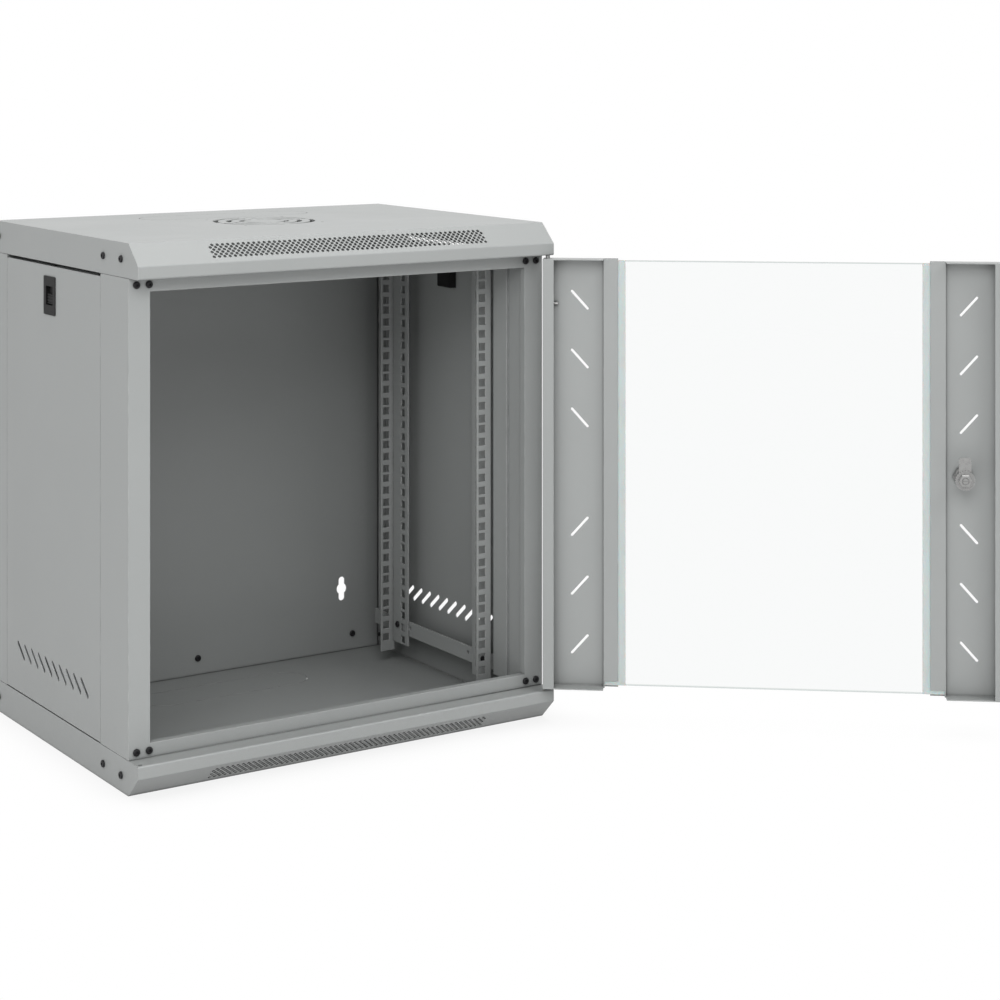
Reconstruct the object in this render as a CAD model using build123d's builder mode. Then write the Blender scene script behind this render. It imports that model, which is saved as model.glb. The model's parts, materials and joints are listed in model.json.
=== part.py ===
"""A 12U wall cabinet for 19-inch network equipment, with its glazed door standing open.

Frame of the model: X to the right, Y to the back, Z up. The origin is the middle of the bottom face.
"""

import os
from math import cos, radians, sin

from build123d import *

# Whole cabinet (mm)
WIDTH = 546.0
HEIGHT = 602.0
FRAME_DEPTH = 398.0  # face of the front frame to the rear edge
OVERHANG = 25.0  # the covers stand this far ahead of the front frame
SHEET = 1.5
THIN_SHEET = 1.2
HALF = WIDTH / 2
Y_REAR = (FRAME_DEPTH + OVERHANG) / 2
Y_LIP = -Y_REAR
Y_FACE = Y_LIP + OVERHANG
Z_MID = HEIGHT / 2

# Top and bottom covers
CHAMFER_DROP = 24.0
COVER_HEIGHT = 38.4
FOLD_R = 2.2
PERFORATION_D = 3.9
PERFORATION_COLUMNS = 111
PERFORATION_ROWS = 6
PERFORATION_PITCH = (3.25, 3.45)
FAN_CENTRE = (0.0, Y_FACE + 206.0)
FAN_HOLE_SPACING = 105.0
FAN_HOLE_D = 4.5
FAN_RING_RADII = (59.5, 43.5, 27.5)
FAN_SLOT = 6.5
FAN_SPOKE = 7.0
CABLE_ENTRY_CENTRE = (0.0, Y_FACE + 314.0)
CABLE_ENTRY = (230.0, 60.0)
KNOCKOUT_CUT = 0.8
KNOCKOUT_TAB = 6.0

# Front frame and posts
FIT = 0.5  # gap between folded sheets that stand edge to edge
Z_LOW = COVER_HEIGHT + FIT
Z_HIGH = HEIGHT - Z_LOW
OPENING_HALF = 247.3
OPENING_LOW = 54.0
OPENING_HIGH = HEIGHT - OPENING_LOW
FRAME_RETURN = 9.5
FRAME_EDGE_R = 0.4
FRONT_POST_DEPTH = 75.0
REAR_POST_DEPTH = 42.0
POST_RECESS = 3.0
POST_STEP_Y = 40.0
POST_INNER_END = 69.5
POST_FLANGE = 21.0
REAR_POST_WIDTH = 30.0
STRIKE_SLOT = (12.0, 26.0)  # below and above the lock

# Screws
SCREW_HEAD_R = 4.0
SCREW_HEAD_H = 2.3
SCREW_SHANK_R = 2.4
SCREW_HOLE_R = 2.7
SCREW_LENGTH = 7.0
SOCKET_ACROSS_FLATS = 3.0
SOCKET_DEPTH = 1.4
FRAME_SCREWS = [(x, z) for x in (263.5, 248.5) for z in (46.2, HEIGHT - 46.2)]
COVER_SCREW_Y = (Y_FACE + 18.8, Y_FACE + 66.9, Y_FACE + 382.0)
COVER_SCREW_Z = 18.4
TAB_TOP = 8.0  # the posts' screw tabs stop this far from the cover's outer face

# Rear panel
PANEL_INSET = 7.0
KEYHOLE_X = 213.5
KEYHOLE_ROWS = (85.5, 519.5)
KEYHOLE_R = 7.5
KEYHOLE_SLOT = (9.0, 32.0)
REAR_SCREWS = [(x, z) for x in (-230.0, 0.0, 230.0) for z in (23.0, HEIGHT - 23.0)]

# Rack rails: 12 units on standard square holes
UNIT = 44.45
UNITS = 12
HOLE_STEPS = (6.35, 22.225, 38.1)
SQUARE_HOLE = 9.5
HOLE_COLUMN_X = 232.55
RAIL_INNER_X = 225.0
RAIL_OUTER_X = 245.3
RAIL_SHEET = 2.0
RAIL_LENGTH = 566.0
RAIL_WEB = 39.5
RAIL_WEB_SETBACK = 12.0
RAIL_HOLE_SHIFT = 4.35  # the hole pattern sits off the middle of the rail
WEB_HOLE_Y = 27.0
FRONT_RAIL_Y = Y_FACE + 72.3
REAR_RAIL_Y = Y_FACE + 307.2

# Depth brackets
BRACKET_HEIGHT = 19.0
BRACKET_LOW = 43.0
BRACKET_SHEET = 2.0
BRACKET_TAB_X = 260.0
BRACKET_SCREW_Y = 14.0
BRACKET_SCREW_Z = 54.0

# Side panels and their slide latches
PANEL_GAP = 0.5
PANEL_LOW = 40.0
PANEL_HIGH = HEIGHT - 42.3
PANEL_RETURN = 12.0
PANEL_FRONT = Y_FACE + FRONT_POST_DEPTH + PANEL_GAP
PANEL_REAR = Y_REAR - REAR_POST_DEPTH - PANEL_GAP
PANEL_MID = (PANEL_FRONT + PANEL_REAR) / 2
VENT_COUNT = 10
VENT_PITCH = 21.2
VENT_Z = 90.0
VENT = (29.0, 5.5)
VENT_ANGLE = 39.0
LATCH = (34.0, 45.0)
LATCH_Y = Y_FACE + 221.0
LATCH_Z = 525.0
LATCH_BODY = (29.0, 40.0)
LATCH_DEPTH = 11.0
LATCH_WALL = 1.5
POCKET = (21.0, 22.2)
SLIDER = (20.0, 24.0)
SLIDER_SHEET = 2.0
TONGUE_WIDTH = 14.0
LATCH_CLEARANCE = 0.6

# Door, drawn in its own plane: x runs from the hinge axis to the lock, y is outward, z is up
HINGE_X = HALF - 5.0
HINGE_Y = Y_LIP + 5.5
OPEN_ANGLE = 140.75
DOOR_LOW = 42.0
DOOR_HIGH = HEIGHT - DOOR_LOW
DOOR_START = -5.0
DOOR_END = 538.5
DOOR_OUT = 5.0
DOOR_IN = -16.0
HINGE_RETURN = 8.3  # where the folded edge at the hinge ends
LOCK_RETURN = 531.3
HINGE_CHANNEL = (67.7, 85.0)
LOCK_CHANNEL = (457.0, 475.0)
CHANNEL_IN = -3.0
CHANNEL_CUT = 8.0  # the inner plate of each glass channel stops this far above the bottom
GASKET_LEG = 0.8
GASKET_WEB = 1.5
GASKET_PROUD = 9.0
GLASS_LOW = 45.0
GLASS_HIGH = 558.0
DOOR_SLOT = (31.0, 3.0)
DOOR_SLOT_ANGLE = 48.0
HINGE_SLOTS = (38.5, (66.0, 137.3, 208.5))  # distance along the door, and heights about its middle
LOCK_SLOTS = (502.7, (65.5, 135.5, 205.5))

# Hinge pins
PIN_R = 2.6
RUNNING_FIT = 0.05
LEDGE_TOP = COVER_HEIGHT
PIN_TIP = HEIGHT - COVER_HEIGHT + 6.4
PIN_LEVER_Z = 505.0
PIN_COLLAR_Z = 534.0
PIN_COLLAR_R = 3.5
SPRING_WIRE_R = 0.35
SPRING_TURNS = 5
GUIDE_Z = (516.0, 546.0)
GUIDE_HALF = 5.6
PIN_LEVER_REACH = 12.5

# Cam lock
LOCK_X = 495.4
LOCK_Z = Z_MID + 3.5
LOCK_THREAD_R = 9.4
LOCK_FLANGE = (11.5, 2.0)
LOCK_NUT_FLATS = 21.0
LOCK_NUT_H = 5.0
ROTOR_R = 6.0
LOCK_BODY_END = -19.5
CAM = (14.5, 27.0)
CAM_SHEET = 2.0
CAM_CORNER_R = 4.0
CAM_OUTER = -23.1
CAM_WASHER_R = 11.8
CAM_WASHER_H = 1.6
CAM_WASHER_TEETH = 24
CAM_NUT = (14.0, 4.0)


def level(z, top):
    """Height of a cover feature: as given on the bottom cover, mirrored for the top cover."""
    return HEIGHT - z if top else z


def box(x, y, z, mode=Mode.ADD):
    """A block between two limits on each axis, added to the part being built."""
    size = [high - low for low, high in (x, y, z)]
    centre = [(low + high) / 2 for low, high in (x, y, z)]
    with Locations(tuple(centre)):
        Box(*size, mode=mode)


def save(name, part):
    """Label one finished piece and write it out."""
    part.label = name
    export_step(part, f"parts/{name}.step")


def mirrored(part):
    """The same piece on the other side of the cabinet, left for right."""
    with BuildPart() as other:
        mirror(part, about=Plane.YZ)
    return other.part


def turned(part):
    """The same piece turned half round about the middle of the side panels."""
    with BuildPart() as other:
        with Locations(Location((0, 2 * PANEL_MID, 0), (0, 0, 180))):
            add(part)
    return other.part


def make_screw():
    """One button-head screw, its head above z = 0 and its shank below."""
    with BuildPart() as screw:
        Cylinder(SCREW_HEAD_R, SCREW_HEAD_H, align=(Align.CENTER, Align.CENTER, Align.MIN))
        fillet(screw.edges().group_by(Axis.Z)[-1], radius=SCREW_HEAD_H * 0.6)
        Cylinder(SCREW_SHANK_R, SCREW_LENGTH, align=(Align.CENTER, Align.CENTER, Align.MAX))
        with BuildSketch(Plane.XY.offset(SCREW_HEAD_H)):
            RegularPolygon(SOCKET_ACROSS_FLATS / 2, 6, major_radius=False)
        extrude(amount=-SOCKET_DEPTH, mode=Mode.SUBTRACT)
    return screw.part


def screw_group(places, outward):
    """Screws whose heads rest at the given places and face the given way."""
    screw = make_screw()
    with BuildPart() as group:
        for place, way in zip(places, outward):
            with Locations(Plane(origin=place, z_dir=way)):
                add(screw)
    return group.part


def drill(places, way, depth, radius=SCREW_HOLE_R):
    """Round holes cut into the part being built, both ways from each place."""
    for place in places:
        with BuildSketch(Plane(origin=place, z_dir=way)) as hole:
            Circle(radius)
        extrude(hole.sketch, amount=depth, both=True, mode=Mode.SUBTRACT)


def cover_outline(x, inset, top):
    """Outline of a cover seen from the side: flat, chamfer, lip, drawn in by the given inset."""
    with BuildSketch(Plane.YZ.offset(x)) as outline:
        with BuildLine():
            Polyline(
                (Y_REAR, level(COVER_HEIGHT, top)),
                (Y_REAR, level(0, top)),
                (Y_FACE, level(0, top)),
                (Y_LIP, level(CHAMFER_DROP, top)),
                (Y_LIP, level(COVER_HEIGHT, top)),
                close=True,
            )
        make_face()
        if inset:
            offset(amount=-inset, kind=Kind.INTERSECTION, mode=Mode.REPLACE)
        fillet(outline.vertices(), radius=FOLD_R - inset)
    return outline.sketch


def perforate(top):
    """Staggered round holes through the chamfer of the cover being built."""
    outward = (0, -CHAMFER_DROP, OVERHANG if top else -OVERHANG)
    middle = (0, (Y_FACE + Y_LIP) / 2, level(CHAMFER_DROP / 2, top))
    pitch_x, pitch_y = PERFORATION_PITCH
    places = [
        ((column - (PERFORATION_COLUMNS - 1) / 2) * pitch_x, (row - (PERFORATION_ROWS - 1) / 2) * pitch_y)
        for column in range(PERFORATION_COLUMNS)
        for row in range(PERFORATION_ROWS)
        if (column + row) % 2 == 0
    ]
    with BuildSketch(Plane(origin=middle, x_dir=(1, 0, 0), z_dir=outward)) as holes:
        with Locations(*places):
            Circle(PERFORATION_D / 2)
    extrude(holes.sketch, amount=2 * SHEET, both=True, mode=Mode.SUBTRACT)


def cut_fan_grille():
    """Ring slots and four screw holes for a 120 mm fan in the roof."""
    with BuildSketch(Plane.XY.offset(HEIGHT)) as grille:
        with Locations(FAN_CENTRE):
            for radius in FAN_RING_RADII:
                Circle(radius + FAN_SLOT / 2)
                Circle(radius - FAN_SLOT / 2, mode=Mode.SUBTRACT)
            for angle in (0, 90):
                Rectangle(3 * FAN_RING_RADII[0], FAN_SPOKE, rotation=angle, mode=Mode.SUBTRACT)
            with GridLocations(FAN_HOLE_SPACING, FAN_HOLE_SPACING, 2, 2):
                Circle(FAN_HOLE_D / 2)
    extrude(grille.sketch, amount=2 * SHEET, both=True, mode=Mode.SUBTRACT)


def cut_knockout(top):
    """Outline of the cable entry, cut through except at four tabs that hold its plate."""
    length, width = CABLE_ENTRY
    with BuildSketch(Plane.XY.offset(level(0, top))) as outline:
        with Locations(CABLE_ENTRY_CENTRE):
            SlotOverall(length, width)
            SlotOverall(length - 2 * KNOCKOUT_CUT, width - 2 * KNOCKOUT_CUT, mode=Mode.SUBTRACT)
            with GridLocations(length / 2, 0, 2, 1):
                Rectangle(KNOCKOUT_TAB, 2 * width, mode=Mode.SUBTRACT)
    extrude(outline.sketch, amount=2 * SHEET, both=True, mode=Mode.SUBTRACT)


def make_cover(top):
    """Roof or floor: a folded tray with a chamfered, perforated front and a ledge behind its lip."""
    ledge = sorted((level(COVER_HEIGHT - 2 * SHEET, top), level(COVER_HEIGHT + SHEET, top)))
    with BuildPart() as cover:
        extrude(cover_outline(-HALF, 0, top), amount=WIDTH)
        cavity = cover_outline(-HALF + SHEET, SHEET, top)
        extrude(cavity, amount=WIDTH - 2 * SHEET, mode=Mode.SUBTRACT)
        box((-HALF + SHEET, HALF - SHEET), (Y_FACE, Y_REAR - SHEET), ledge, mode=Mode.SUBTRACT)
        perforate(top)
        cut_knockout(top)
        if top:
            cut_fan_grille()
        for side in (-1, 1):
            pin_place = (side * HINGE_X, HINGE_Y, level(COVER_HEIGHT, top))
            drill([pin_place], (0, 0, 1), 2 * SHEET, PIN_R + RUNNING_FIT)
            places = [(side * HALF, y, level(COVER_SCREW_Z, top)) for y in COVER_SCREW_Y]
            drill(places, (side, 0, 0), 2 * SHEET)
        rear = [(x, Y_REAR, z) for x, z in REAR_SCREWS if (z > Z_MID) == top]
        drill(rear, (0, 1, 0), 2 * SHEET)
    return cover.part


def make_front_frame():
    """One welded ring round the front opening, folded back at the opening's edges."""
    inner = OPENING_HALF + SHEET
    low, high = OPENING_LOW - SHEET, OPENING_HIGH + SHEET
    with BuildPart() as frame:
        box((-HALF, HALF), (Y_FACE, Y_FACE + SHEET), (Z_LOW, Z_HIGH))
        box((-inner, inner), (Y_FACE, Y_FACE + FRAME_RETURN), (low, high))
        box(
            (-OPENING_HALF, OPENING_HALF),
            (Y_FACE - 1, Y_FACE + FRAME_RETURN + 1),
            (OPENING_LOW, OPENING_HIGH),
            mode=Mode.SUBTRACT,
        )
        for side in (-1, 1):
            drill([(side * x, Y_FACE, z) for x, z in FRAME_SCREWS], (0, -1, 0), 2 * SHEET)
        slot_z = (LOCK_Z - STRIKE_SLOT[0], LOCK_Z + STRIKE_SLOT[1])
        slot_y = (Y_FACE + SHEET, Y_FACE + FRAME_RETURN + 1)
        box((-inner - 1, -OPENING_HALF + 1), slot_y, slot_z, mode=Mode.SUBTRACT)
        outer = frame.edges().filter_by(Axis.Z).group_by(Axis.Y)[0]
        fillet(outer.filter_by(lambda edge: abs(edge.center().X) > HALF - 0.1), radius=FRAME_EDGE_R)
    return frame.part


def make_left_front_post():
    """Folded post behind the left side of the front frame, with screw tabs inside the covers."""
    front = Y_FACE + SHEET
    rear = Y_FACE + FRONT_POST_DEPTH
    step = Y_FACE + POST_STEP_Y
    inner = -OPENING_HALF - POST_RECESS
    height = (Z_LOW, Z_HIGH)
    with BuildPart() as post:
        box((-HALF, -HALF + SHEET), (front, rear), height)
        box((-HALF, inner), (front, front + SHEET), height)
        box((inner - SHEET, inner), (front, step + SHEET), height)
        box((inner - SHEET, -OPENING_HALF), (step, step + SHEET), height)
        box((-OPENING_HALF - SHEET, -OPENING_HALF), (step, Y_FACE + POST_INNER_END), height)
        box((-HALF, -HALF + POST_FLANGE), (rear - SHEET, rear), height)
        box((-HALF + SHEET, -HALF + 2 * SHEET), (front + 2 * SHEET, rear), (TAB_TOP, HEIGHT - TAB_TOP))
        drill([(-x, front, z) for x, z in FRAME_SCREWS], (0, -1, 0), SCREW_LENGTH + SHEET)
        for z in (COVER_SCREW_Z, HEIGHT - COVER_SCREW_Z):
            drill([(-HALF, y, z) for y in COVER_SCREW_Y[:2]], (-1, 0, 0), 3 * SHEET)
    return post.part


def cut_strike_slot(post):
    """The lock's cam turns into a slot in the inner wall of the post at the door's free side."""
    inner = -OPENING_HALF - POST_RECESS
    front = Y_FACE + SHEET
    with BuildPart() as slotted:
        add(post)
        box(
            (inner - 2 * SHEET, inner + 1),
            (front + SHEET, front + FRAME_RETURN),
            (LOCK_Z - STRIKE_SLOT[0], LOCK_Z + STRIKE_SLOT[1]),
            mode=Mode.SUBTRACT,
        )
    return slotted.part


def make_left_rear_post():
    """Folded rear corner post, with a flange for the depth brackets and screw tabs."""
    front = Y_REAR - REAR_POST_DEPTH
    height = (Z_LOW, Z_HIGH)
    tab_end = Y_REAR - PANEL_INSET - SHEET
    with BuildPart() as post:
        box((-HALF, -HALF + SHEET), (front, Y_REAR), height)
        box((-HALF, -HALF + REAR_POST_WIDTH), (Y_REAR - SHEET, Y_REAR), height)
        box((-HALF, -HALF + POST_FLANGE), (front, front + SHEET), height)
        box((-HALF + SHEET, -HALF + 2 * SHEET), (front, tab_end), (TAB_TOP, HEIGHT - TAB_TOP))
        for z in (COVER_SCREW_Z, HEIGHT - COVER_SCREW_Z):
            drill([(-HALF, COVER_SCREW_Y[2], z)], (-1, 0, 0), 3 * SHEET)
    return post.part


def make_rear_panel():
    """Wall panel, folded back at its edges, with four double-ended keyholes."""
    front = Y_REAR - PANEL_INSET
    side = HALF - 2 * SHEET - FIT
    low = SHEET + FIT
    slot_width, slot_height = KEYHOLE_SLOT
    with BuildPart() as panel:
        box((-side, side), (front, Y_REAR - SHEET), (low, HEIGHT - low))
        box(
            (-side + SHEET, side - SHEET),
            (front + SHEET, Y_REAR),
            (low + SHEET, HEIGHT - low - SHEET),
            mode=Mode.SUBTRACT,
        )
        with BuildSketch(Plane.XZ.offset(-front)):
            with Locations(*[(x, z) for x in (-KEYHOLE_X, KEYHOLE_X) for z in KEYHOLE_ROWS]):
                Circle(KEYHOLE_R)
                SlotOverall(slot_height, slot_width, rotation=90)
        extrude(amount=2 * SHEET, both=True, mode=Mode.SUBTRACT)
        drill([(x, front, z) for x, z in REAR_SCREWS], (0, -1, 0), 2 * SHEET)
    return panel.part


def make_front_right_rail():
    """Upright L-section rail: square holes in its face and in its web."""
    low = Z_MID - RAIL_LENGTH / 2
    high = Z_MID + RAIL_LENGTH / 2
    first = Z_MID + RAIL_HOLE_SHIFT - UNITS * UNIT / 2
    rows = [first + unit * UNIT + step for unit in range(UNITS) for step in HOLE_STEPS]
    web_x = (RAIL_OUTER_X - RAIL_SHEET, RAIL_OUTER_X)
    web_y = (FRONT_RAIL_Y, FRONT_RAIL_Y + RAIL_WEB)
    with BuildPart() as rail:
        box((RAIL_INNER_X, RAIL_OUTER_X), (FRONT_RAIL_Y, FRONT_RAIL_Y + RAIL_SHEET), (low, high))
        box(web_x, web_y, (low + RAIL_WEB_SETBACK, high - RAIL_WEB_SETBACK))
        with BuildSketch(Plane.XZ.offset(-FRONT_RAIL_Y)):
            with Locations(*[(HOLE_COLUMN_X, z) for z in rows]):
                Rectangle(SQUARE_HOLE, SQUARE_HOLE)
        extrude(amount=-2 * RAIL_SHEET, mode=Mode.SUBTRACT)
        with BuildSketch(Plane.YZ.offset(RAIL_OUTER_X)):
            with Locations(*[(FRONT_RAIL_Y + WEB_HOLE_Y, z) for z in rows]):
                Rectangle(SQUARE_HOLE, SQUARE_HOLE)
        extrude(amount=-2 * RAIL_SHEET, mode=Mode.SUBTRACT)
        places = [(RAIL_OUTER_X, FRONT_RAIL_Y + BRACKET_SCREW_Y, z) for z in bracket_screw_heights()]
        drill(places, (1, 0, 0), 2 * RAIL_SHEET)
    return rail.part


def flipped_rail(part):
    """The same rail turned end for end, so that its web points forward at the rear of the bay."""
    middle_y = (FRONT_RAIL_Y + REAR_RAIL_Y) / 2
    with BuildPart() as other:
        with Locations(Location((0, 2 * middle_y, HEIGHT), (180, 0, 0))):
            add(part)
    return other.part


def bracket_screw_heights():
    return (BRACKET_SCREW_Z, HEIGHT - BRACKET_SCREW_Z)


def make_right_bracket(top):
    """Depth bracket between the front and rear posts, which the two right rails bolt to."""
    front = Y_FACE + FRONT_POST_DEPTH
    rear = Y_REAR - REAR_POST_DEPTH
    height = sorted((level(BRACKET_LOW, top), level(BRACKET_LOW + BRACKET_HEIGHT, top)))
    screw_z = level(BRACKET_SCREW_Z, top)
    with BuildPart() as bracket:
        box((RAIL_OUTER_X, RAIL_OUTER_X + BRACKET_SHEET), (front, rear), height)
        box((RAIL_OUTER_X, BRACKET_TAB_X), (front, front + BRACKET_SHEET), height)
        box((RAIL_OUTER_X, BRACKET_TAB_X), (rear - BRACKET_SHEET, rear), height)
        ends = (FRONT_RAIL_Y + BRACKET_SCREW_Y, REAR_RAIL_Y - BRACKET_SCREW_Y)
        drill([(RAIL_OUTER_X, y, screw_z) for y in ends], (1, 0, 0), 2 * BRACKET_SHEET)
        spare = (FRONT_RAIL_Y + 52.0, REAR_RAIL_Y - 42.0)
        drill([(RAIL_OUTER_X, y, screw_z) for y in spare], (1, 0, 0), 2 * BRACKET_SHEET, 2.5)
    return bracket.part


def make_left_side_panel():
    """Lift-off side panel: a shallow pan with slanted vents low down and a latch hole."""
    inside = -HALF + THIN_SHEET
    y = (PANEL_FRONT, PANEL_REAR)
    z = (PANEL_LOW, PANEL_HIGH)
    tongue_x = (-HALF + 1.8, -HALF + 6.5)
    with BuildPart() as panel:
        box((-HALF, -HALF + PANEL_RETURN), y, z)
        box(
            (inside, -HALF + PANEL_RETURN + 1),
            (y[0] + THIN_SHEET, y[1] - THIN_SHEET),
            (z[0] + THIN_SHEET, z[1] - THIN_SHEET),
            mode=Mode.SUBTRACT,
        )
        with BuildSketch(Plane.YZ.offset(-HALF)):
            with Locations((PANEL_MID, VENT_Z)):
                with GridLocations(VENT_PITCH, 0, VENT_COUNT, 1):
                    SlotOverall(*VENT, rotation=VENT_ANGLE)
            with Locations((LATCH_Y, LATCH_Z)):
                Rectangle(LATCH_BODY[0] + 1, LATCH_BODY[1] + 1)
        extrude(amount=2 * THIN_SHEET, mode=Mode.SUBTRACT)
        slot_y = (LATCH_Y - TONGUE_WIDTH / 2 - 1.5, LATCH_Y + TONGUE_WIDTH / 2 + 1.5)
        box(tongue_x, slot_y, (PANEL_HIGH - 2 * THIN_SHEET, PANEL_HIGH + 1), mode=Mode.SUBTRACT)
    return panel.part


def make_left_latch_housing():
    """Black housing of a slide latch: an outer plate with a finger pocket and a hollow body."""
    body_y, body_z = LATCH_BODY[0] / 2, LATCH_BODY[1] / 2
    cavity_y, cavity_z = body_y - LATCH_WALL, body_z - LATCH_WALL
    with BuildPart() as housing:
        with BuildSketch(Plane.YZ.offset(-HALF - 1)):
            with Locations((LATCH_Y, LATCH_Z)):
                RectangleRounded(*LATCH, 1.5)
        extrude(amount=1)
        box(
            (-HALF, -HALF + LATCH_DEPTH),
            (LATCH_Y - body_y, LATCH_Y + body_y),
            (LATCH_Z - body_z, LATCH_Z + body_z),
        )
        box(
            (-HALF, -HALF + LATCH_DEPTH - LATCH_WALL),
            (LATCH_Y - cavity_y, LATCH_Y + cavity_y),
            (LATCH_Z - cavity_z, LATCH_Z + cavity_z),
            mode=Mode.SUBTRACT,
        )
        inner_edges = housing.faces().sort_by(Axis.X)[-1].edges().filter_by(Axis.Y)
        chamfer(inner_edges, length=1.4)
        with BuildSketch(Plane.YZ.offset(-HALF - 1)):
            with Locations((LATCH_Y, LATCH_Z)):
                RectangleRounded(*POCKET, 1.0)
        extrude(amount=1, mode=Mode.SUBTRACT)
        box(
            (-HALF + 3.5 - LATCH_CLEARANCE, -HALF + 3.5 + SLIDER_SHEET + LATCH_CLEARANCE),
            (LATCH_Y - TONGUE_WIDTH / 2 - LATCH_CLEARANCE, LATCH_Y + TONGUE_WIDTH / 2 + LATCH_CLEARANCE),
            (LATCH_Z, LATCH_Z + body_z + 1),
            mode=Mode.SUBTRACT,
        )
    return housing.part


def make_left_latch_slider():
    """Slider of the latch, drawn back: a plate, a ribbed thumb grip and a tongue."""
    plate_x = (-HALF + 3.5, -HALF + 3.5 + SLIDER_SHEET)
    low = LATCH_Z - 17.0
    with BuildPart() as slider:
        box(plate_x, (LATCH_Y - SLIDER[0] / 2, LATCH_Y + SLIDER[0] / 2), (low, low + SLIDER[1]))
        box(
            plate_x,
            (LATCH_Y - TONGUE_WIDTH / 2, LATCH_Y + TONGUE_WIDTH / 2),
            (low + SLIDER[1], PANEL_HIGH + 1.3),
        )
        box((-HALF + 0.5, plate_x[0]), (LATCH_Y - 8.5, LATCH_Y + 8.5), (LATCH_Z - 9.5, LATCH_Z + 1.5))
        for rib in range(3):
            z = LATCH_Z - 8.0 + 3.4 * rib
            box((-HALF, -HALF + 1.3), (LATCH_Y - 8.5, LATCH_Y + 8.5), (z, z + 1.4), mode=Mode.SUBTRACT)
    return slider.part


def door_plane(z=0.0):
    """Plane of the open door: x from the hinge to the lock, y outward, z up."""
    swing = radians(180 + OPEN_ANGLE)
    return Plane(origin=(HINGE_X, HINGE_Y, z), x_dir=(cos(swing), sin(swing), 0), z_dir=(0, 0, 1))


def door_face_plane(x, y, z):
    """Plane across the door at one of its points: x from hinge to lock, y up, facing inward."""
    origin = door_plane().from_local_coords((x, y, z))
    along = door_plane().x_dir
    return Plane(origin=origin, x_dir=along, z_dir=-door_plane().y_dir)


def wall(x, y, z, mode=Mode.ADD):
    """A block between two limits on each axis of the door's own plane."""
    with BuildSketch(door_plane(z[0])) as section:
        with Locations(((x[0] + x[1]) / 2, (y[0] + y[1]) / 2)):
            Rectangle(x[1] - x[0], y[1] - y[0])
    extrude(section.sketch, amount=z[1] - z[0], mode=mode)


def make_stile(edge, fold, channel, slots):
    """Door stile: outer sheet, folded edge, end flanges and the channel that grips the glass."""
    inward = 1 if channel[0] > edge else -1
    back = channel[0] if inward > 0 else channel[1]
    mouth = channel[1] if inward > 0 else channel[0]
    height = (DOOR_LOW, DOOR_HIGH)
    t = THIN_SHEET
    with BuildPart() as stile:
        wall(sorted((edge, mouth)), (DOOR_OUT - t, DOOR_OUT), height)
        wall(sorted((edge, edge + inward * t)), (DOOR_IN, DOOR_OUT), height)
        wall(sorted((edge, fold)), (DOOR_IN, DOOR_IN + t), height)
        wall(sorted((back, back + inward * t)), (CHANNEL_IN, DOOR_OUT), height)
        wall(sorted((back, mouth)), (CHANNEL_IN, CHANNEL_IN + t), (DOOR_LOW + CHANNEL_CUT, DOOR_HIGH))
        for z in ((DOOR_LOW, DOOR_LOW + t), (DOOR_HIGH - t, DOOR_HIGH)):
            wall(sorted((edge, back)), (DOOR_IN, DOOR_OUT), z)
        with BuildSketch(door_face_plane(0, DOOR_OUT, 0)):
            for offset_z in slots[1]:
                with Locations((slots[0], Z_MID + offset_z)):
                    SlotOverall(*DOOR_SLOT, rotation=-inward * DOOR_SLOT_ANGLE)
                with Locations((slots[0], Z_MID - offset_z)):
                    SlotOverall(*DOOR_SLOT, rotation=inward * DOOR_SLOT_ANGLE)
        extrude(amount=2 * t, both=True, mode=Mode.SUBTRACT)
        if inward > 0:
            for z in (DOOR_LOW, DOOR_HIGH):
                with BuildSketch(door_plane(z)):
                    Circle(PIN_R + (RUNNING_FIT if z == DOOR_HIGH else 0))
                extrude(amount=2 * t, both=True, mode=Mode.SUBTRACT)
        else:
            with BuildSketch(door_face_plane(LOCK_X, DOOR_OUT, LOCK_Z)):
                Circle(LOCK_THREAD_R)
            extrude(amount=2 * t, both=True, mode=Mode.SUBTRACT)
    return stile.part


def gasket_lines():
    """The gasket's three walls, across its channel, as (low, high) in the door's outward direction."""
    inner = CHANNEL_IN + THIN_SHEET
    outer = DOOR_OUT - THIN_SHEET
    return inner, inner + GASKET_LEG, outer - GASKET_LEG, outer


def make_gasket(channel):
    """U-section rubber round one upright edge of the glass."""
    inward = 1 if channel == HINGE_CHANNEL else -1
    back = channel[0] + THIN_SHEET if inward > 0 else channel[1] - THIN_SHEET
    mouth = (channel[1] if inward > 0 else channel[0]) + inward * GASKET_PROUD
    inner, inner_top, outer_low, outer = gasket_lines()
    with BuildPart() as gasket:
        wall(sorted((back, back + inward * GASKET_WEB)), (inner, outer), (GLASS_LOW, GLASS_HIGH))
        wall(sorted((back, mouth)), (inner, inner_top), (GLASS_LOW, GLASS_HIGH))
        wall(sorted((back, mouth)), (outer_low, outer), (GLASS_LOW, GLASS_HIGH))
    return gasket.part


def make_glass():
    start = HINGE_CHANNEL[0] + THIN_SHEET + GASKET_WEB
    end = LOCK_CHANNEL[1] - THIN_SHEET - GASKET_WEB
    _, inner, outer, _ = gasket_lines()
    with BuildPart() as glass:
        wall((start, end), (inner, outer), (GLASS_LOW, GLASS_HIGH))
    return glass.part


def pin_cylinder(radius, low, high, mode=Mode.ADD):
    """A round stretch about the hinge axis between two heights."""
    with BuildSketch(door_plane(low)) as section:
        Circle(radius)
    extrude(section.sketch, amount=high - low, mode=mode)


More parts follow.
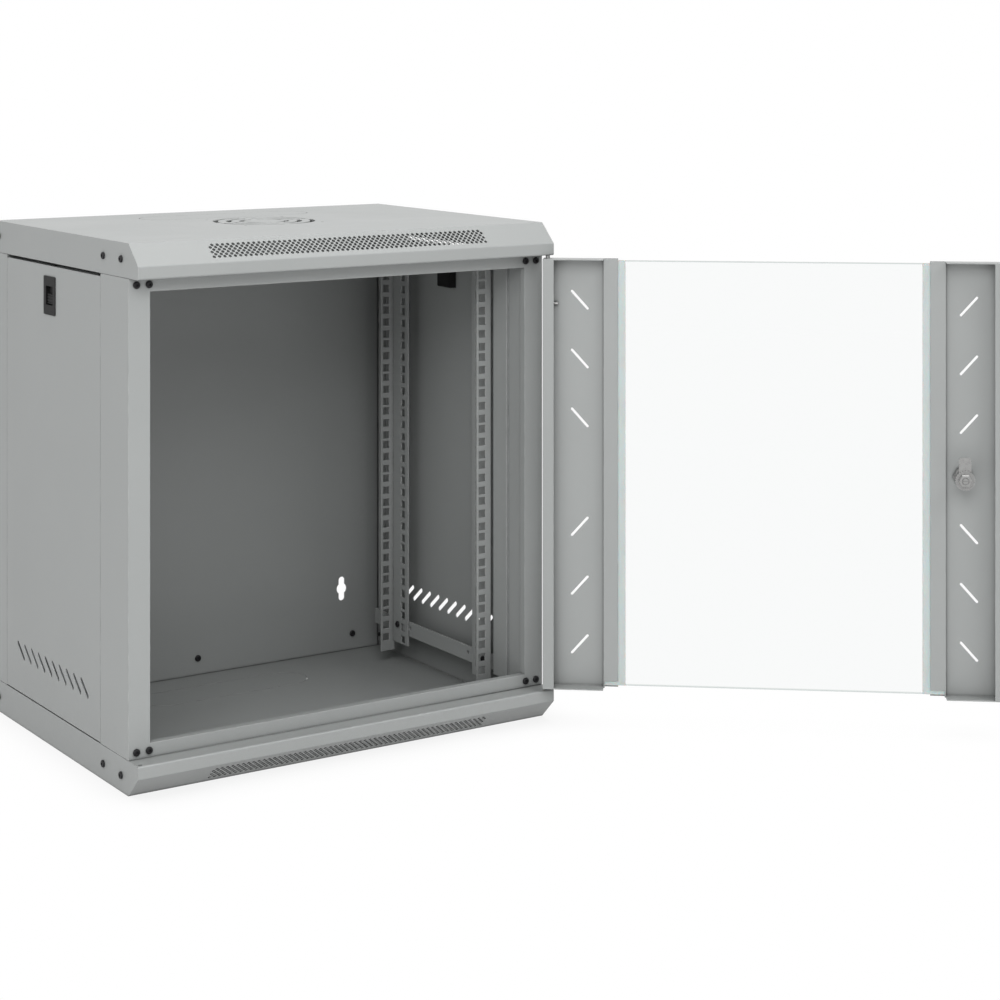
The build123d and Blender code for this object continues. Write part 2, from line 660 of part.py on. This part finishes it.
def make_top_pin():
    """Spring-loaded top hinge pin: a collar for its spring and a bent end as its lever."""
    with BuildPart() as pin:
        pin_cylinder(PIN_R, PIN_LEVER_Z - PIN_R, PIN_TIP)
        chamfer(pin.edges().group_by(Axis.Z)[-1], length=1.0)
        pin_cylinder(PIN_COLLAR_R, PIN_COLLAR_Z, PIN_COLLAR_Z + 2.0)
        with BuildSketch(Plane(door_plane(PIN_LEVER_Z).origin, x_dir=(0, 0, 1), z_dir=door_plane().x_dir)):
            Circle(PIN_R * 0.8)
        extrude(amount=PIN_LEVER_REACH)
        fillet(pin.edges().sort_by(door_axis())[-1], radius=0.8)
    return pin.part


def door_axis():
    return Axis(origin=(HINGE_X, HINGE_Y, 0), direction=door_plane().x_dir)


def make_pin_spring():
    """Coil spring round the top pin, between the lower guide ear and the pin's collar."""
    start = GUIDE_Z[0] + THIN_SHEET + SPRING_WIRE_R
    height = PIN_COLLAR_Z - SPRING_WIRE_R - start
    coil_r = PIN_R + 2 * SPRING_WIRE_R
    with BuildPart() as spring:
        with BuildLine(Plane((HINGE_X, HINGE_Y, start))):
            Helix(pitch=height / SPRING_TURNS, height=height, radius=coil_r)
        with BuildSketch(Plane((HINGE_X + coil_r, HINGE_Y, start), z_dir=(0, 1, 0))):
            Circle(SPRING_WIRE_R)
        sweep(is_frenet=True)
    return spring.part


def make_pin_guide():
    """Guide with two ears, welded into the stile, which holds the top pin."""
    ear_y = (-GUIDE_HALF, DOOR_OUT - THIN_SHEET)
    ear_x = (DOOR_START + THIN_SHEET, GUIDE_HALF)
    with BuildPart() as guide:
        wall((PIN_COLLAR_R + 0.4, GUIDE_HALF), (-GUIDE_HALF, ear_y[1]), (GUIDE_Z[0], GUIDE_Z[1] + THIN_SHEET))
        for z in GUIDE_Z:
            wall(ear_x, ear_y, (z, z + THIN_SHEET))
        pin_cylinder(PIN_R + RUNNING_FIT, GUIDE_Z[0] - 1, GUIDE_Z[1] + 2 * THIN_SHEET, mode=Mode.SUBTRACT)
    return guide.part


def make_bottom_pin():
    with BuildPart() as pin:
        pin_cylinder(PIN_R, LEDGE_TOP - 8.0, DOOR_LOW + THIN_SHEET + 3.0)
        chamfer(pin.edges().group_by(Axis.Z)[0], length=1.0)
        pin_cylinder(PIN_R + 1.0, DOOR_LOW + THIN_SHEET, DOOR_LOW + THIN_SHEET + 3.0)
    return pin.part


def make_bottom_washer():
    """Nylon washer that carries the door on the bottom ledge."""
    with BuildPart() as washer:
        pin_cylinder(PIN_R + 2.0, LEDGE_TOP + 0.6, DOOR_LOW)
        pin_cylinder(PIN_R, LEDGE_TOP, DOOR_LOW, mode=Mode.SUBTRACT)
    return washer.part


def lock_disc(profile, start, end, mode=Mode.ADD):
    """A prism about the lock's axis between two depths; profile draws its outline."""
    with BuildSketch(door_face_plane(LOCK_X, start, LOCK_Z)) as section:
        profile()
    extrude(section.sketch, amount=start - end, mode=mode)


def make_lock_body():
    """Threaded barrel of the cam lock, with its round outer flange and two flats."""
    flange_r, flange_h = LOCK_FLANGE
    with BuildPart() as body:
        lock_disc(lambda: Circle(flange_r), DOOR_OUT + flange_h, DOOR_OUT)
        lock_disc(lambda: Circle(LOCK_THREAD_R), DOOR_OUT, LOCK_BODY_END)
        lock_disc(lambda: Circle(ROTOR_R + RUNNING_FIT), DOOR_OUT + flange_h, LOCK_BODY_END, Mode.SUBTRACT)
    return body.part


def make_lock_nut():
    inside = DOOR_OUT - THIN_SHEET
    end = inside - LOCK_NUT_H
    with BuildPart() as nut:
        lock_disc(lambda: RegularPolygon(LOCK_NUT_FLATS / 2, 6, major_radius=False), inside, end)
        lock_disc(lambda: Circle(LOCK_THREAD_R), inside, end, Mode.SUBTRACT)
    return nut.part


def make_lock_rotor():
    """Turning plug with a keyway at its face and a square shank for the cam."""
    face = DOOR_OUT + LOCK_FLANGE[1]
    with BuildPart() as rotor:
        lock_disc(lambda: Circle(ROTOR_R), face, LOCK_BODY_END - 0.6)
        lock_disc(lambda: Rectangle(8, 8), LOCK_BODY_END - 0.6, CAM_OUTER - CAM_SHEET)
        lock_disc(lambda: Rectangle(1.8, 7.5), face, face - 5.0, Mode.SUBTRACT)
    return rotor.part


def cam_outline():
    """Cam pointing up: rounded at both ends, with a square hole at the lock's axis."""
    width, reach = CAM
    tail = width / 2
    with Locations((0, (reach - tail) / 2)):
        RectangleRounded(width, reach + tail, CAM_CORNER_R)
    Rectangle(8, 8, mode=Mode.SUBTRACT)


def make_lock_cam():
    with BuildPart() as cam:
        lock_disc(cam_outline, CAM_OUTER, CAM_OUTER - CAM_SHEET)
    return cam.part


def make_cam_washer():
    """Toothed washer that clamps the cam on the plug, dished so that its rim bears."""
    seat = CAM_OUTER - CAM_SHEET
    with BuildPart() as washer:
        lock_disc(lambda: Circle(CAM_WASHER_R), seat, seat - CAM_WASHER_H)
        lock_disc(lambda: Circle(CAM_WASHER_R - 1.6), seat - 1.0, seat - CAM_WASHER_H, Mode.SUBTRACT)
        lock_disc(washer_teeth, seat, seat - CAM_WASHER_H, Mode.SUBTRACT)
    return washer.part


def washer_teeth():
    with PolarLocations(CAM_WASHER_R, CAM_WASHER_TEETH):
        Rectangle(1.6, 1.1)


def make_cam_nut():
    """Hexagon nut on the plug's end, with the slotted end of the plug's screw inside it."""
    seat = CAM_OUTER - CAM_SHEET - 1.0
    end = seat - CAM_NUT[1]
    with BuildPart() as screw:
        lock_disc(lambda: RegularPolygon(CAM_NUT[0] / 2, 6, major_radius=False), seat, end)
        chamfer(screw.faces().sort_by(inward_axis())[-1].edges(), length=0.8)
        lock_disc(lambda: Circle(4.4), end + 1.2, end, Mode.SUBTRACT)
        lock_disc(lambda: Circle(3.2), end + 1.5, end - 0.6)
        lock_disc(lambda: Rectangle(7.0, 0.9), end + 0.3, end - 0.7, Mode.SUBTRACT)
    return screw.part


def inward_axis():
    return Axis(origin=(HINGE_X, HINGE_Y, 0), direction=-door_plane().y_dir)


os.makedirs("parts", exist_ok=True)

save("top_cover", make_cover(True))
save("bottom_cover", make_cover(False))
save("front_frame", make_front_frame())
save("rear_panel", make_rear_panel())

front_post = make_left_front_post()
rear_post = make_left_rear_post()
save("left_front_post", cut_strike_slot(front_post))
save("right_front_post", mirrored(front_post))
save("left_rear_post", rear_post)
save("right_rear_post", mirrored(rear_post))

rail = make_front_right_rail()
rear_rail = flipped_rail(rail)
save("front_right_rail", rail)
save("front_left_rail", mirrored(rail))
save("rear_right_rail", rear_rail)
save("rear_left_rail", mirrored(rear_rail))
for top in (False, True):
    bracket = make_right_bracket(top)
    place = "upper" if top else "lower"
    save(f"{place}_right_bracket", bracket)
    save(f"{place}_left_bracket", mirrored(bracket))

SIDES = (-1, 1)
frame_places = [(side * x, Y_FACE, z) for side in SIDES for x, z in FRAME_SCREWS]
save("front_frame_screws", screw_group(frame_places, [(0, -1, 0)] * len(frame_places)))
for top in (False, True):
    places = [(side * HALF, y, level(COVER_SCREW_Z, top)) for side in SIDES for y in COVER_SCREW_Y]
    ways = [(side, 0, 0) for side in SIDES for _ in COVER_SCREW_Y]
    save("top_cover_screws" if top else "bottom_cover_screws", screw_group(places, ways))
panel_places = [(x, Y_REAR - PANEL_INSET, z) for x, z in REAR_SCREWS]
save("rear_panel_screws", screw_group(panel_places, [(0, -1, 0)] * len(panel_places)))
rail_screw_y = (FRONT_RAIL_Y + BRACKET_SCREW_Y, REAR_RAIL_Y - BRACKET_SCREW_Y)
web_face = RAIL_OUTER_X - RAIL_SHEET
rail_places = [(s * web_face, y, z) for s in SIDES for y in rail_screw_y for z in bracket_screw_heights()]
rail_ways = [(-1 if x > 0 else 1, 0, 0) for x, _, _ in rail_places]
save("rail_screws", screw_group(rail_places, rail_ways))

for name, left in (
    ("side_panel", make_left_side_panel()),
    ("latch_housing", make_left_latch_housing()),
    ("latch_slider", make_left_latch_slider()),
):
    save(f"left_{name}", left)
    save(f"right_{name}", turned(left))

save("door_hinge_stile", make_stile(DOOR_START, HINGE_RETURN, HINGE_CHANNEL, HINGE_SLOTS))
save("door_lock_stile", make_stile(DOOR_END, LOCK_RETURN, LOCK_CHANNEL, LOCK_SLOTS))
save("hinge_side_gasket", make_gasket(HINGE_CHANNEL))
save("lock_side_gasket", make_gasket(LOCK_CHANNEL))
save("door_glass", make_glass())
save("top_hinge_pin", make_top_pin())
save("hinge_pin_spring", make_pin_spring())
save("hinge_pin_guide", make_pin_guide())
save("bottom_hinge_pin", make_bottom_pin())
save("bottom_hinge_washer", make_bottom_washer())
save("lock_body", make_lock_body())
save("lock_nut", make_lock_nut())
save("lock_rotor", make_lock_rotor())
save("lock_cam", make_lock_cam())
save("lock_cam_washer", make_cam_washer())
save("lock_cam_nut", make_cam_nut())
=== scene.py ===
"""A 12U wall cabinet for 19-inch network equipment on a pale studio floor, its glazed door open."""

import json
import math

import bmesh
import bpy
from mathutils import Matrix, Vector


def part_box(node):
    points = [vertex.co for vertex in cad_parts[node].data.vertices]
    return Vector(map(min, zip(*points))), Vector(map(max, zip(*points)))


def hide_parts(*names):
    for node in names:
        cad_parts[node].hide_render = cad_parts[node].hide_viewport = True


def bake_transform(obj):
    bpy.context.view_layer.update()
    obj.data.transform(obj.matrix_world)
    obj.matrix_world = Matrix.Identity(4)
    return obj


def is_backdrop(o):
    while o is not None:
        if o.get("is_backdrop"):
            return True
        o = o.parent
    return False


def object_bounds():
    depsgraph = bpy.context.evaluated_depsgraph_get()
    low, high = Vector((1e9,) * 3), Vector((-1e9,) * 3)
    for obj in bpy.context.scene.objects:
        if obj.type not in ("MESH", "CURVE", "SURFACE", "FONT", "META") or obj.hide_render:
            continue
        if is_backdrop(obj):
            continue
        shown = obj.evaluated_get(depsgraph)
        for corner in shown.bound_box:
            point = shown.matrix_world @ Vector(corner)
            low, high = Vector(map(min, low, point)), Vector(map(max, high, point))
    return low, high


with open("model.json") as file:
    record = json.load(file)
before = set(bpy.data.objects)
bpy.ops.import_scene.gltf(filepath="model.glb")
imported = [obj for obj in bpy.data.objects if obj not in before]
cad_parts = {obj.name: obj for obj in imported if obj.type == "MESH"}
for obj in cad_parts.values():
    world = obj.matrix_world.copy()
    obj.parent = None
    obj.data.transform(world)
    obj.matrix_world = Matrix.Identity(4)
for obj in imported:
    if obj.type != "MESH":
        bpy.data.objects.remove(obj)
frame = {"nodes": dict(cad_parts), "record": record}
nodes = frame["nodes"]


def write_size(stage, sizes={}):
    """Keeps the object's box, in metres, at one stage of the making."""
    low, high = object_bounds()
    sizes[stage] = {"low": list(low), "high": list(high)}


write_size("after_load")
scene = bpy.context.scene

UP = Vector((0.0, 0.0, 1.0))

# Heights of the door's glass, and the width of the dull seam ground along its edges (metres)
GLASS_MIDDLE, GLASS_HALF = 0.3015, 0.2565
GLASS_SEAM = 0.0014

# The hinge spring (metres)
SPRING_WIRE_R = 0.00035
SPRING_TURNS = 5
STEPS_PER_TURN = 32
SIDES_OF_WIRE = 12


# ---------------------------------------------------------------- camera

EYE = Vector((-1.3032, -2.4818, 0.8149))
HEADING = math.radians(33.42)
FOCAL = 2.2823  # in picture widths
LENS_DROP = 0.4524  # picture widths that the lens is lowered, so that uprights stay upright
SENSOR = 0.036


def make_camera():
    """A view camera with a lowered lens, on a mount that keeps its picture plane upright."""
    across = Vector((math.cos(HEADING), -math.sin(HEADING), 0.0))
    back = UP * (LENS_DROP / FOCAL) - Vector((math.sin(HEADING), math.cos(HEADING), 0.0))
    mount = bpy.data.objects.new("camera_mount", None)
    camera = bpy.data.objects.new("camera", bpy.data.cameras.new("camera"))
    for obj in (mount, camera):
        scene.collection.objects.link(obj)
    camera.parent = mount
    axes = Matrix((across, UP, back.normalized())).transposed().to_4x4()
    camera.matrix_parent_inverse = Matrix.Translation(EYE) @ axes
    camera.data.sensor_width = SENSOR * 1000
    camera.data.lens = FOCAL * back.length * SENSOR * 1000
    camera.data.clip_start, camera.data.clip_end = 0.1, 50
    scene.camera = camera


make_camera()


# ---------------------------------------------------------------- shared node groups


class Graph:
    """Short ways to add and wire nodes in one node tree."""

    def __init__(self, tree):
        self.tree = tree

    def node(self, kind, **values):
        made = self.tree.nodes.new(kind)
        for name, value in values.items():
            setattr(made, name, value)
        return made

    def feed(self, target, value):
        """Wires an output into a socket, or sets the socket to a plain value."""
        if isinstance(value, bpy.types.NodeSocket):
            self.tree.links.new(value, target)
        else:
            target.default_value = value

    def math(self, operation, a, b=0.0, clamp=False):
        made = self.node("ShaderNodeMath", operation=operation, use_clamp=clamp)
        self.feed(made.inputs[0], a)
        self.feed(made.inputs[1], b)
        return made.outputs[0]

    def noise(self, scale, detail=2.0, roughness=0.5, vector=None):
        made = self.node("ShaderNodeTexNoise")
        self.feed(made.inputs["Scale"], scale)
        self.feed(made.inputs["Detail"], detail)
        self.feed(made.inputs["Roughness"], roughness)
        self.feed(made.inputs["Vector"], vector or self.place())
        return made.outputs["Fac"]

    def place(self):
        return self.node("ShaderNodeTexCoord").outputs["Object"]

    def remap(self, value, low, high, new_low=0.0, new_high=1.0):
        made = self.node("ShaderNodeMapRange")
        for name, given in zip(
            ("Value", "From Min", "From Max", "To Min", "To Max"),
            (value, low, high, new_low, new_high),
        ):
            self.feed(made.inputs[name], given)
        return made.outputs[0]

    def mix(self, amount, a, b, blend="MIX"):
        made = self.node("ShaderNodeMix", data_type="RGBA", blend_type=blend)
        self.feed(made.inputs["Factor"], amount)
        self.feed(made.inputs[6], a)
        self.feed(made.inputs[7], b)
        return made.outputs[2]

    def group(self, tree, **values):
        made = self.node("ShaderNodeGroup", node_tree=tree)
        for name, value in values.items():
            self.feed(made.inputs[name.replace("_", " ")], value)
        return made


def new_group(name, inputs, outputs):
    """A node group with float inputs {name: default} and outputs {name: socket type}."""
    tree = bpy.data.node_groups.new(name, "ShaderNodeTree")
    for label, default in inputs.items():
        socket = tree.interface.new_socket(label, in_out="INPUT", socket_type="NodeSocketFloat")
        socket.default_value = default
    for label, kind in outputs.items():
        tree.interface.new_socket(label, in_out="OUTPUT", socket_type=kind)
    graph = Graph(tree)
    given = graph.node("NodeGroupInput").outputs
    result = graph.node("NodeGroupOutput").inputs
    return tree, graph, given, result


def make_powder_grain():
    """Orange-peel grain of powder coat: a height and a slight variation of gloss."""
    heights = {"Height": "NodeSocketFloat", "Mottle": "NodeSocketFloat"}
    tree, g, given, result = new_group("powder_grain", {"Size": 1400.0}, heights)
    fine = g.noise(given["Size"], detail=3.0, roughness=0.6)
    coarse = g.noise(g.math("MULTIPLY", given["Size"], 0.16), detail=2.0)
    height = g.math("ADD", g.math("MULTIPLY", fine, 0.75), g.math("MULTIPLY", coarse, 0.25))
    g.feed(result["Height"], height)
    g.feed(result["Mottle"], g.noise(7.0, detail=4.0, roughness=0.55))
    return tree


def make_edge_sheen_and_wear():
    """Mask of sharp outer edges, used to paint a highlight, and wear where the coat is thinner,
    into colours.
    """
    mask = {"Mask": "NodeSocketFloat"}
    tree, g, given, result = new_group("edge_sheen_and_wear", {"Width": 0.0008}, mask)
    bevel = g.node("ShaderNodeBevel", samples=4)
    g.feed(bevel.inputs["Radius"], given["Width"])
    geometry = g.node("ShaderNodeNewGeometry")
    dot = g.node("ShaderNodeVectorMath", operation="DOT_PRODUCT")
    g.feed(dot.inputs[0], bevel.outputs[0])
    g.feed(dot.inputs[1], geometry.outputs["Normal"])
    edge = g.remap(dot.outputs["Value"], 0.995, 0.8)
    patches = g.remap(g.noise(60.0, 3.0), 0.35, 0.7)
    g.feed(result["Mask"], g.math("MULTIPLY", edge, patches, clamp=True))
    return tree


def make_corner_shade():
    """Mask of inner corners from ambient occlusion, used to paint shade, and grime on plated metal,
    into colours.
    """
    tree, g, given, result = new_group(
        "corner_shade", {"Reach": 0.02, "Start": 0.9}, {"Mask": "NodeSocketFloat"}
    )
    shade = g.node("ShaderNodeAmbientOcclusion", samples=6)
    g.feed(shade.inputs["Distance"], given["Reach"])
    deepest = g.math("MULTIPLY", given["Start"], 0.33)
    g.feed(result["Mask"], g.remap(shade.outputs["AO"], given["Start"], deepest))
    return tree


GRAIN = make_powder_grain()
EDGE_SHEEN_AND_WEAR = make_edge_sheen_and_wear()
CORNER = make_corner_shade()


# ---------------------------------------------------------------- materials


def new_material(name, **settings):
    """A material whose Principled shader has the given settings, with its graph and shader."""
    made = bpy.data.materials.new(name)
    made.use_nodes = True
    graph = Graph(made.node_tree)
    shader = made.node_tree.nodes["Principled BSDF"]
    for label, value in settings.items():
        shader.inputs[label.replace("_", " ")].default_value = value
    return made, graph, shader


def bump(graph, height, strength, distance, normal=None):
    made = graph.node("ShaderNodeBump")
    made.inputs["Strength"].default_value = strength
    made.inputs["Distance"].default_value = distance
    graph.feed(made.inputs["Height"], height)
    if normal:
        graph.feed(made.inputs["Normal"], normal)
    return made.outputs["Normal"]


def painted(name, colour, roughness=0.42):
    """Light powder-coated sheet steel: folds slightly rounded, with painted shade in inner corners
    and deep recesses and a painted highlight on outer edges.
    """
    made, g, shader = new_material(name, IOR=1.48)
    grain = g.group(GRAIN)
    dark = tuple(channel * 0.93 for channel in colour) + (1.0,)
    base = g.mix(grain.outputs["Mottle"], dark, tuple(colour) + (1.0,))
    # Painted shade: the colour is darkened towards dark grey in deep recesses, such as the back
    # wall under the roof.
    painted_deep_shade = g.math("MULTIPLY", g.group(CORNER, Reach=0.25, Start=0.5).outputs["Mask"], 0.7)
    base = g.mix(painted_deep_shade, base, (0.12, 0.125, 0.123, 1.0))
    # Painted shade: narrow inner corners and the slits between sheets are darkened almost to black.
    painted_crease_shade = g.math("MULTIPLY", g.group(CORNER, Reach=0.004).outputs["Mask"], 0.75)
    base = g.mix(painted_crease_shade, base, (0.03, 0.032, 0.031, 1.0))
    # Painted highlight: sharp outer edges and folds are lightened towards pale grey.
    painted_edge_highlight = g.math("MULTIPLY", g.group(EDGE_SHEEN_AND_WEAR, Width=0.0012).outputs["Mask"], 0.35)
    base = g.mix(painted_edge_highlight, base, (0.7, 0.7, 0.7, 1.0))
    g.feed(shader.inputs["Base Color"], base)
    gloss = g.remap(grain.outputs["Mottle"], 0.3, 0.7, roughness - 0.03, roughness + 0.05)
    g.feed(shader.inputs["Roughness"], gloss)
    fold = g.node("ShaderNodeBevel", samples=4)
    fold.inputs["Radius"].default_value = 0.001
    g.feed(shader.inputs["Normal"], bump(g, grain.outputs["Height"], 0.12, 0.0002, fold.outputs[0]))
    return made


def black_finish(name, colour, roughness, metallic=0.0, grain=3000.0):
    """Black oxide or moulded plastic with a fine grain."""
    made, g, shader = new_material(name, Metallic=metallic, Specular_IOR_Level=0.2)
    fine = g.group(GRAIN, Size=grain)
    # Outer edges lightened towards dark grey: rubbed finish with a painted highlight.
    edge = g.math("MULTIPLY", g.group(EDGE_SHEEN_AND_WEAR, Width=0.0003).outputs["Mask"], 0.5)
    base = g.mix(edge, tuple(colour) + (1.0,), (0.04, 0.04, 0.04, 1.0))
    g.feed(shader.inputs["Base Color"], base)
    gloss = g.remap(fine.outputs["Height"], 0.3, 0.7, roughness - 0.06, roughness + 0.08)
    g.feed(shader.inputs["Roughness"], gloss)
    g.feed(shader.inputs["Normal"], bump(g, fine.outputs["Height"], 0.2, 0.00006))
    return made


def plated(name, colour, roughness):
    """Zinc or nickel plating: bright metal with faint clouding."""
    made, g, shader = new_material(name, Metallic=1.0)
    cloud = g.noise(220.0, detail=4.0, roughness=0.6)
    base = g.mix(cloud, tuple(c * 0.82 for c in colour) + (1.0,), tuple(colour) + (1.0,))
    # Inner corners darkened towards dark grey: grime with painted shade.
    grime_and_shade = g.math("MULTIPLY", g.group(CORNER, Reach=0.004).outputs["Mask"], 0.5)
    base = g.mix(grime_and_shade, base, (0.1, 0.1, 0.1, 1.0))
    g.feed(shader.inputs["Base Color"], base)
    g.feed(shader.inputs["Roughness"], g.remap(cloud, 0.3, 0.7, roughness - 0.05, roughness + 0.07))
    g.feed(shader.inputs["Normal"], bump(g, g.noise(2500.0), 0.08, 0.00005))
    return made


def clear_glass():
    """Clear toughened glass: almost colourless, with faint smears in its gloss."""
    made, g, shader = new_material(
        "clear_glass", Transmission_Weight=1.0, IOR=1.3
    )
    g.feed(shader.inputs["Roughness"], g.remap(g.noise(9.0, 5.0), 0.55, 0.8, 0.0, 0.03))
    facing = g.node("ShaderNodeSeparateXYZ")
    g.feed(facing.inputs[0], g.node("ShaderNodeNewGeometry").outputs["True Normal"])
    rim = g.math("GREATER_THAN", g.math("ABSOLUTE", facing.outputs["Z"]), 0.5)
    height = g.node("ShaderNodeSeparateXYZ")
    g.feed(height.inputs[0], g.place())
    from_middle = g.math("ABSOLUTE", g.math("SUBTRACT", height.outputs["Z"], GLASS_MIDDLE))
    seam = g.math("GREATER_THAN", from_middle, GLASS_HALF - GLASS_SEAM)
    base = g.mix(seam, (0.945, 0.955, 0.953, 1.0), (0.66, 0.70, 0.69, 1.0))
    g.feed(shader.inputs["Base Color"], g.mix(rim, base, (0.10, 0.13, 0.12, 1.0)))
    clear = g.node("ShaderNodeBsdfTransparent")
    clear.inputs["Color"].default_value = (0.97, 0.98, 0.975, 1.0)
    path = g.node("ShaderNodeLightPath")
    mixed = g.node("ShaderNodeMixShader")
    g.feed(mixed.inputs[0], path.outputs["Is Shadow Ray"])
    g.feed(mixed.inputs[1], shader.outputs[0])
    g.feed(mixed.inputs[2], clear.outputs[0])
    g.feed(made.node_tree.nodes["Material Output"].inputs["Surface"], mixed.outputs[0])
    return made


def soft_strip():
    """Translucent grey-green PVC of the glass gaskets."""
    made, g, shader = new_material(
        "soft_strip", Roughness=0.35, Subsurface_Weight=0.4, Subsurface_Scale=0.004, IOR=1.46
    )
    base = g.mix(g.noise(30.0, 3.0), (0.33, 0.375, 0.37, 1.0), (0.37, 0.415, 0.41, 1.0))
    g.feed(shader.inputs["Base Color"], base)
    g.feed(shader.inputs["Normal"], bump(g, g.noise(900.0), 0.05, 0.0001))
    return made


def nylon():
    """Undyed nylon of the bottom hinge washer."""
    made, g, shader = new_material(
        "natural_nylon", Roughness=0.45, Subsurface_Weight=0.2, Subsurface_Scale=0.002
    )
    base = g.mix(g.noise(80.0), (0.74, 0.73, 0.69, 1.0), (0.8, 0.79, 0.76, 1.0))
    g.feed(shader.inputs["Base Color"], base)
    return made


FINISHES = {
    "sheet_paint": painted("sheet_paint", (0.240, 0.249, 0.246)),
    "black_screw": black_finish("black_screw", (0.010, 0.010, 0.011), 0.45),
    "latch_plastic": black_finish("latch_plastic", (0.008, 0.008, 0.008), 0.6, grain=1800.0),
    "gasket_rubber": soft_strip(),
    "clear_glass": clear_glass(),
    "zinc_steel": plated("zinc_steel", (0.34, 0.34, 0.335), 0.38),
    "nylon": nylon(),
    "lock_metal": plated("lock_metal", (0.36, 0.36, 0.355), 0.28),
}
for part in frame["record"]["subparts"]:
    mesh = nodes[part["node"]].data
    mesh.materials.clear()
    mesh.materials.append(FINISHES[part["material_slot"]])


# ---------------------------------------------------------------- hinge spring


def make_spring():
    """Coil spring round the top hinge pin, in place of the hidden hinge_pin_spring part."""
    low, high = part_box("hinge_pin_spring")
    middle = (low + high) / 2
    coil = (high.x - low.x) / 2 - SPRING_WIRE_R
    steps = SPRING_TURNS * STEPS_PER_TURN
    around = [2 * math.pi * side / SIDES_OF_WIRE for side in range(SIDES_OF_WIRE)]
    mesh = bmesh.new()
    rings = []
    for step in range(steps + 1):
        share = step / steps
        angle = 2 * math.pi * SPRING_TURNS * share
        out = Vector((math.cos(angle), math.sin(angle), 0.0))
        height = low.z + SPRING_WIRE_R + share * (high.z - low.z - 2 * SPRING_WIRE_R)
        centre = Vector((middle.x, middle.y, height)) + out * coil
        wire = [(out * math.cos(a) + UP * math.sin(a)) * SPRING_WIRE_R for a in around]
        rings.append([mesh.verts.new(centre + point) for point in wire])
    for ring, after in zip(rings, rings[1:]):
        for side in range(SIDES_OF_WIRE):
            other = (side + 1) % SIDES_OF_WIRE
            mesh.faces.new((ring[side], after[side], after[other], ring[other]))
    mesh.faces.new(rings[0])
    mesh.faces.new(rings[-1][::-1])
    bmesh.ops.recalc_face_normals(mesh, faces=mesh.faces)
    data = bpy.data.meshes.new("pin_spring")
    mesh.to_mesh(data)
    data.shade_smooth()
    data.materials.append(FINISHES["zinc_steel"])
    spring = bpy.data.objects.new("pin_spring", data)
    scene.collection.objects.link(spring)
    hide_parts("hinge_pin_spring")
    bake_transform(spring)


make_spring()


# ---------------------------------------------------------------- floor and light


def pale_floor():
    """White floor with a faint contact shade, fading into the backdrop far away."""
    made, g, shader = new_material("pale_floor", Roughness=0.8)
    place = g.place()
    base = g.mix(g.noise(1.5, 3.0), (0.88, 0.88, 0.88, 1.0), (0.9, 0.9, 0.9, 1.0))
    g.feed(shader.inputs["Base Color"], base)
    shade = g.math("MULTIPLY", g.group(CORNER, Reach=0.06).outputs["Mask"], 0.2)
    seen = g.node("ShaderNodeEmission")
    g.feed(seen.inputs["Color"], g.mix(shade, (1.0, 1.0, 1.0, 1.0), (0.4, 0.4, 0.4, 1.0)))
    paper = g.node("ShaderNodeMixShader")
    g.feed(paper.inputs[0], g.node("ShaderNodeLightPath").outputs["Is Diffuse Ray"])
    g.feed(paper.inputs[1], seen.outputs[0])
    g.feed(paper.inputs[2], shader.outputs[0])
    distance = g.node("ShaderNodeVectorMath", operation="LENGTH")
    g.feed(distance.inputs[0], place)
    faded = g.node("ShaderNodeMixShader")
    g.feed(faded.inputs[0], g.remap(distance.outputs["Value"], 2.0, 4.0))
    g.feed(faded.inputs[1], paper.outputs[0])
    g.feed(faded.inputs[2], g.node("ShaderNodeBsdfTransparent").outputs[0])
    g.feed(made.node_tree.nodes["Material Output"].inputs["Surface"], faded.outputs[0])
    return made


def make_floor():
    bpy.ops.mesh.primitive_plane_add(size=9, location=(0, 0, 0))
    floor = bpy.context.object
    floor.name = "floor"
    floor.data.materials.append(pale_floor())
    floor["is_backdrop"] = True


def area_light(name, place, target, size, power):
    data = bpy.data.lights.new(name, "AREA")
    data.shape = "RECTANGLE"
    data.size, data.size_y = size
    data.energy = power
    light = bpy.data.objects.new(name, data)
    scene.collection.objects.link(light)
    light.location = place
    light.rotation_euler = (Vector(target) - Vector(place)).to_track_quat("-Z", "Y").to_euler()


make_floor()
MIDDLE = (0.1, 0.0, 0.3)
area_light("key", (-1.6, -2.6, 2.4), MIDDLE, (2.0, 2.0), 82)
area_light("right", (1.3, -2.6, 2.6), MIDDLE, (1.5, 1.5), 40)
area_light("top", (0.2, 0.0, 2.6), MIDDLE, (2.4, 2.4), 42)
area_light("left_low", (-2.6, -1.6, 0.9), MIDDLE, (1.6, 1.6), 16)


def make_world():
    """A white backdrop that lights matt surfaces softly, so the area lights shape the form."""
    world = bpy.data.worlds.new("studio")
    world.use_nodes = True
    g = Graph(world.node_tree)
    background = world.node_tree.nodes["Background"]
    background.inputs["Color"].default_value = (1.0, 1.0, 1.0, 1.0)
    matt = g.node("ShaderNodeLightPath").outputs["Is Diffuse Ray"]
    g.feed(background.inputs["Strength"], g.remap(matt, 0.0, 1.0, 1.0, 0.43))
    scene.world = world


make_world()
scene.view_settings.view_transform = "Standard"

write_size("finished")
